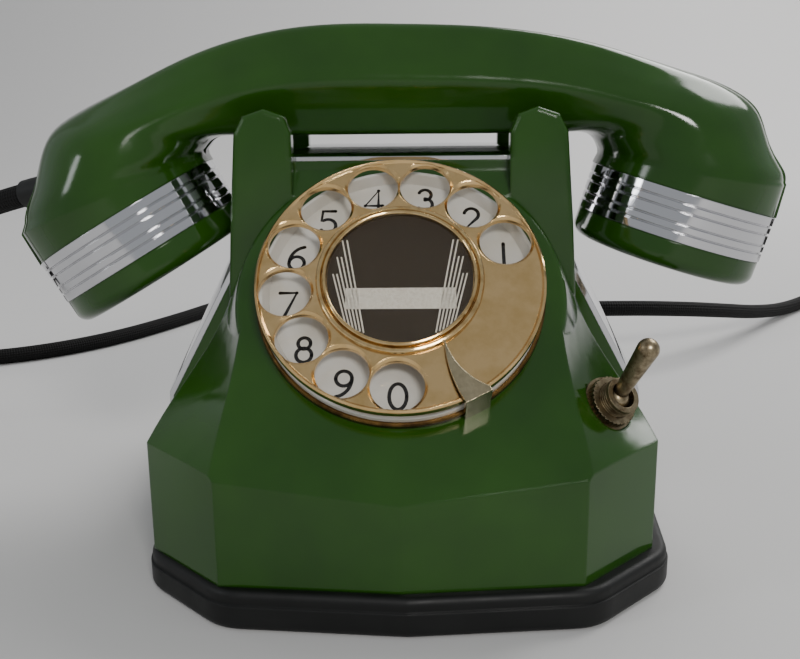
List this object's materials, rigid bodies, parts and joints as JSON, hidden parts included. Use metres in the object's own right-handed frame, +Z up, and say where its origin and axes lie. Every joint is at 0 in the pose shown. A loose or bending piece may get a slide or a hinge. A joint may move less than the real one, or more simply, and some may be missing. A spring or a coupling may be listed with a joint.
{
  "type": "rotary telephone",
  "caption": "Desk telephone with a faceted moulded housing, chrome strap, finger-hole dial, toggle switch and a cradled handset on cloth-covered cords.",
  "frame": {"origin": "centre of the footprint, on the surface that the telephone stands on", "axes": "+X to the user's right along the handset, -Y towards the user, +Z up"},
  "size_m": [0.6387, 0.4416, 0.1512],
  "materials": {
    "green_moulding": "glossy moulded phenolic",
    "chrome": "polished chrome plate",
    "rubber": "matt black moulded rubber",
    "gold_lacquer": "satin gold lacquer on brass",
    "white_enamel": "vitreous enamel",
    "rim_brass": "aged brass",
    "nickel": "nickel plate",
    "worn_nickel": "tarnished nickel plate",
    "printed_card": "printed card",
    "clear_window": "clear celluloid",
    "black_moulding": "black phenolic",
    "steel": "zinc-plated steel",
    "brass": "turned brass",
    "bell_metal": "nickel-plated steel gong",
    "coil_winding": "taped copper winding",
    "waxed_can": "painted tin",
    "capsule_can": "pressed aluminium",
    "cord_cloth": "braided cotton"
  },
  "bodies": {
    "base": {"base_plate": "steel", "bottom_cover": "steel", "chrome_strap": "chrome", "condenser": "waxed_can", "connecting_block": "black_moulding", "connecting_block_cover": "black_moulding", "connecting_block_screw": "steel", "contact_block": "black_moulding", "dial_frame": "steel", "dial_rim": "rim_brass", "finger_stop": "nickel", "gong_large": "bell_metal", "gong_screws": "steel", "gong_small": "bell_metal", "handset_cord": "cord_cloth", "handset_cord_grommet": "rubber", "hook_bracket": "steel", "hook_contacts": "brass", "housing": "green_moulding", "housing_screws": "steel", "impulse_contacts": "brass", "induction_coil": "coil_winding", "line_cord": "cord_cloth", "line_cord_coil": "cord_cloth", "line_cord_grommet": "rubber", "number_plate": "white_enamel", "pivot_pins": "steel", "return_spring_case": "steel", "ringer_coils": "coil_winding", "ringer_frame": "steel", "ringer_posts": "steel", "rubber_base": "rubber", "terminal_screws": "steel", "terminal_strip": "black_moulding", "toggle_body": "black_moulding", "toggle_bushing": "worn_nickel", "toggle_ring_nut": "worn_nickel", "toggle_washer": "worn_nickel"},
    "dial_wheel": {"finger_wheel": "gold_lacquer", "card_ring": "gold_lacquer", "number_card": "printed_card", "card_window": "clear_window", "dial_shaft": "steel", "main_gear": "brass"},
    "dial_pinion": {"dial_pinion": "brass", "impulse_cam": "brass"},
    "governor": {"governor": "brass"},
    "handset": {"handset_handle": "green_moulding", "transmitter_band": "chrome", "receiver_band": "chrome", "transmitter_cap": "green_moulding", "receiver_cap": "green_moulding", "transmitter_capsule": "capsule_can", "receiver_capsule": "capsule_can", "handset_gland": "rubber"},
    "cradle": {"cradle_plungers": "chrome", "hook_yoke": "steel"},
    "hook_lever": {"hook_lever": "steel"},
    "toggle_lever": {"toggle_lever": "worn_nickel"},
    "clapper": {"clapper": "steel"}
  },
  "joints": [
    {"name": "dial_turn", "type": "hinge", "parent": "base", "child": "dial_wheel", "pos_m": [0, -0.05423, 0.08432], "axis": [0, -0.7536, 0.6574], "range_deg": [-328, 0], "stiffness_Nm_per_rad": 0.003, "springref_deg": 57.3},
    {"name": "pinion_spin", "type": "hinge", "parent": "base", "child": "dial_pinion", "pos_m": [0, -0.04903, 0.05165], "axis": [0, -0.7536, 0.6574], "range_deg": [-5, 1320]},
    {"name": "governor_spin", "type": "hinge", "parent": "base", "child": "governor", "pos_m": [0, -0.05468, 0.04517], "axis": [1, 0, 0], "range_deg": [-10, 6600]},
    {"name": "handset_lift", "type": "slide", "parent": "base", "child": "handset", "axis": [0, 0, 1], "range_m": [0, 0.09], "deforming": ["handset_cord"]},
    {"name": "cradle_rise", "type": "slide", "parent": "base", "child": "cradle", "axis": [0, 0, 1], "range_m": [0, 0.0041]},
    {"name": "hook_tilt", "type": "hinge", "parent": "base", "child": "hook_lever", "pos_m": [0, 0.024, 0.071], "axis": [1, 0, 0], "range_deg": [-9, 0]},
    {"name": "toggle_tilt", "type": "hinge", "parent": "base", "child": "toggle_lever", "pos_m": [0.05634, -0.06222, 0.05344], "axis": [-0.8244, -0.566, 0], "range_deg": [-44, 0]},
    {"name": "clapper_swing", "type": "hinge", "parent": "base", "child": "clapper", "pos_m": [0.001, 0.014, 0.0235], "axis": [0, 0, 1], "range_deg": [-3.4, 3.4], "stiffness_Nm_per_rad": 0.01}
  ],
  "couplings": [
    {"joint": "pinion_spin", "follows": "dial_turn", "ratio": -4},
    {"joint": "governor_spin", "follows": "dial_turn", "ratio": -20},
    {"joint": "cradle_rise", "follows": "handset_lift", "ratio": 0.0444},
    {"joint": "hook_tilt", "follows": "handset_lift", "rad_per_m": -1.7}
  ]
}
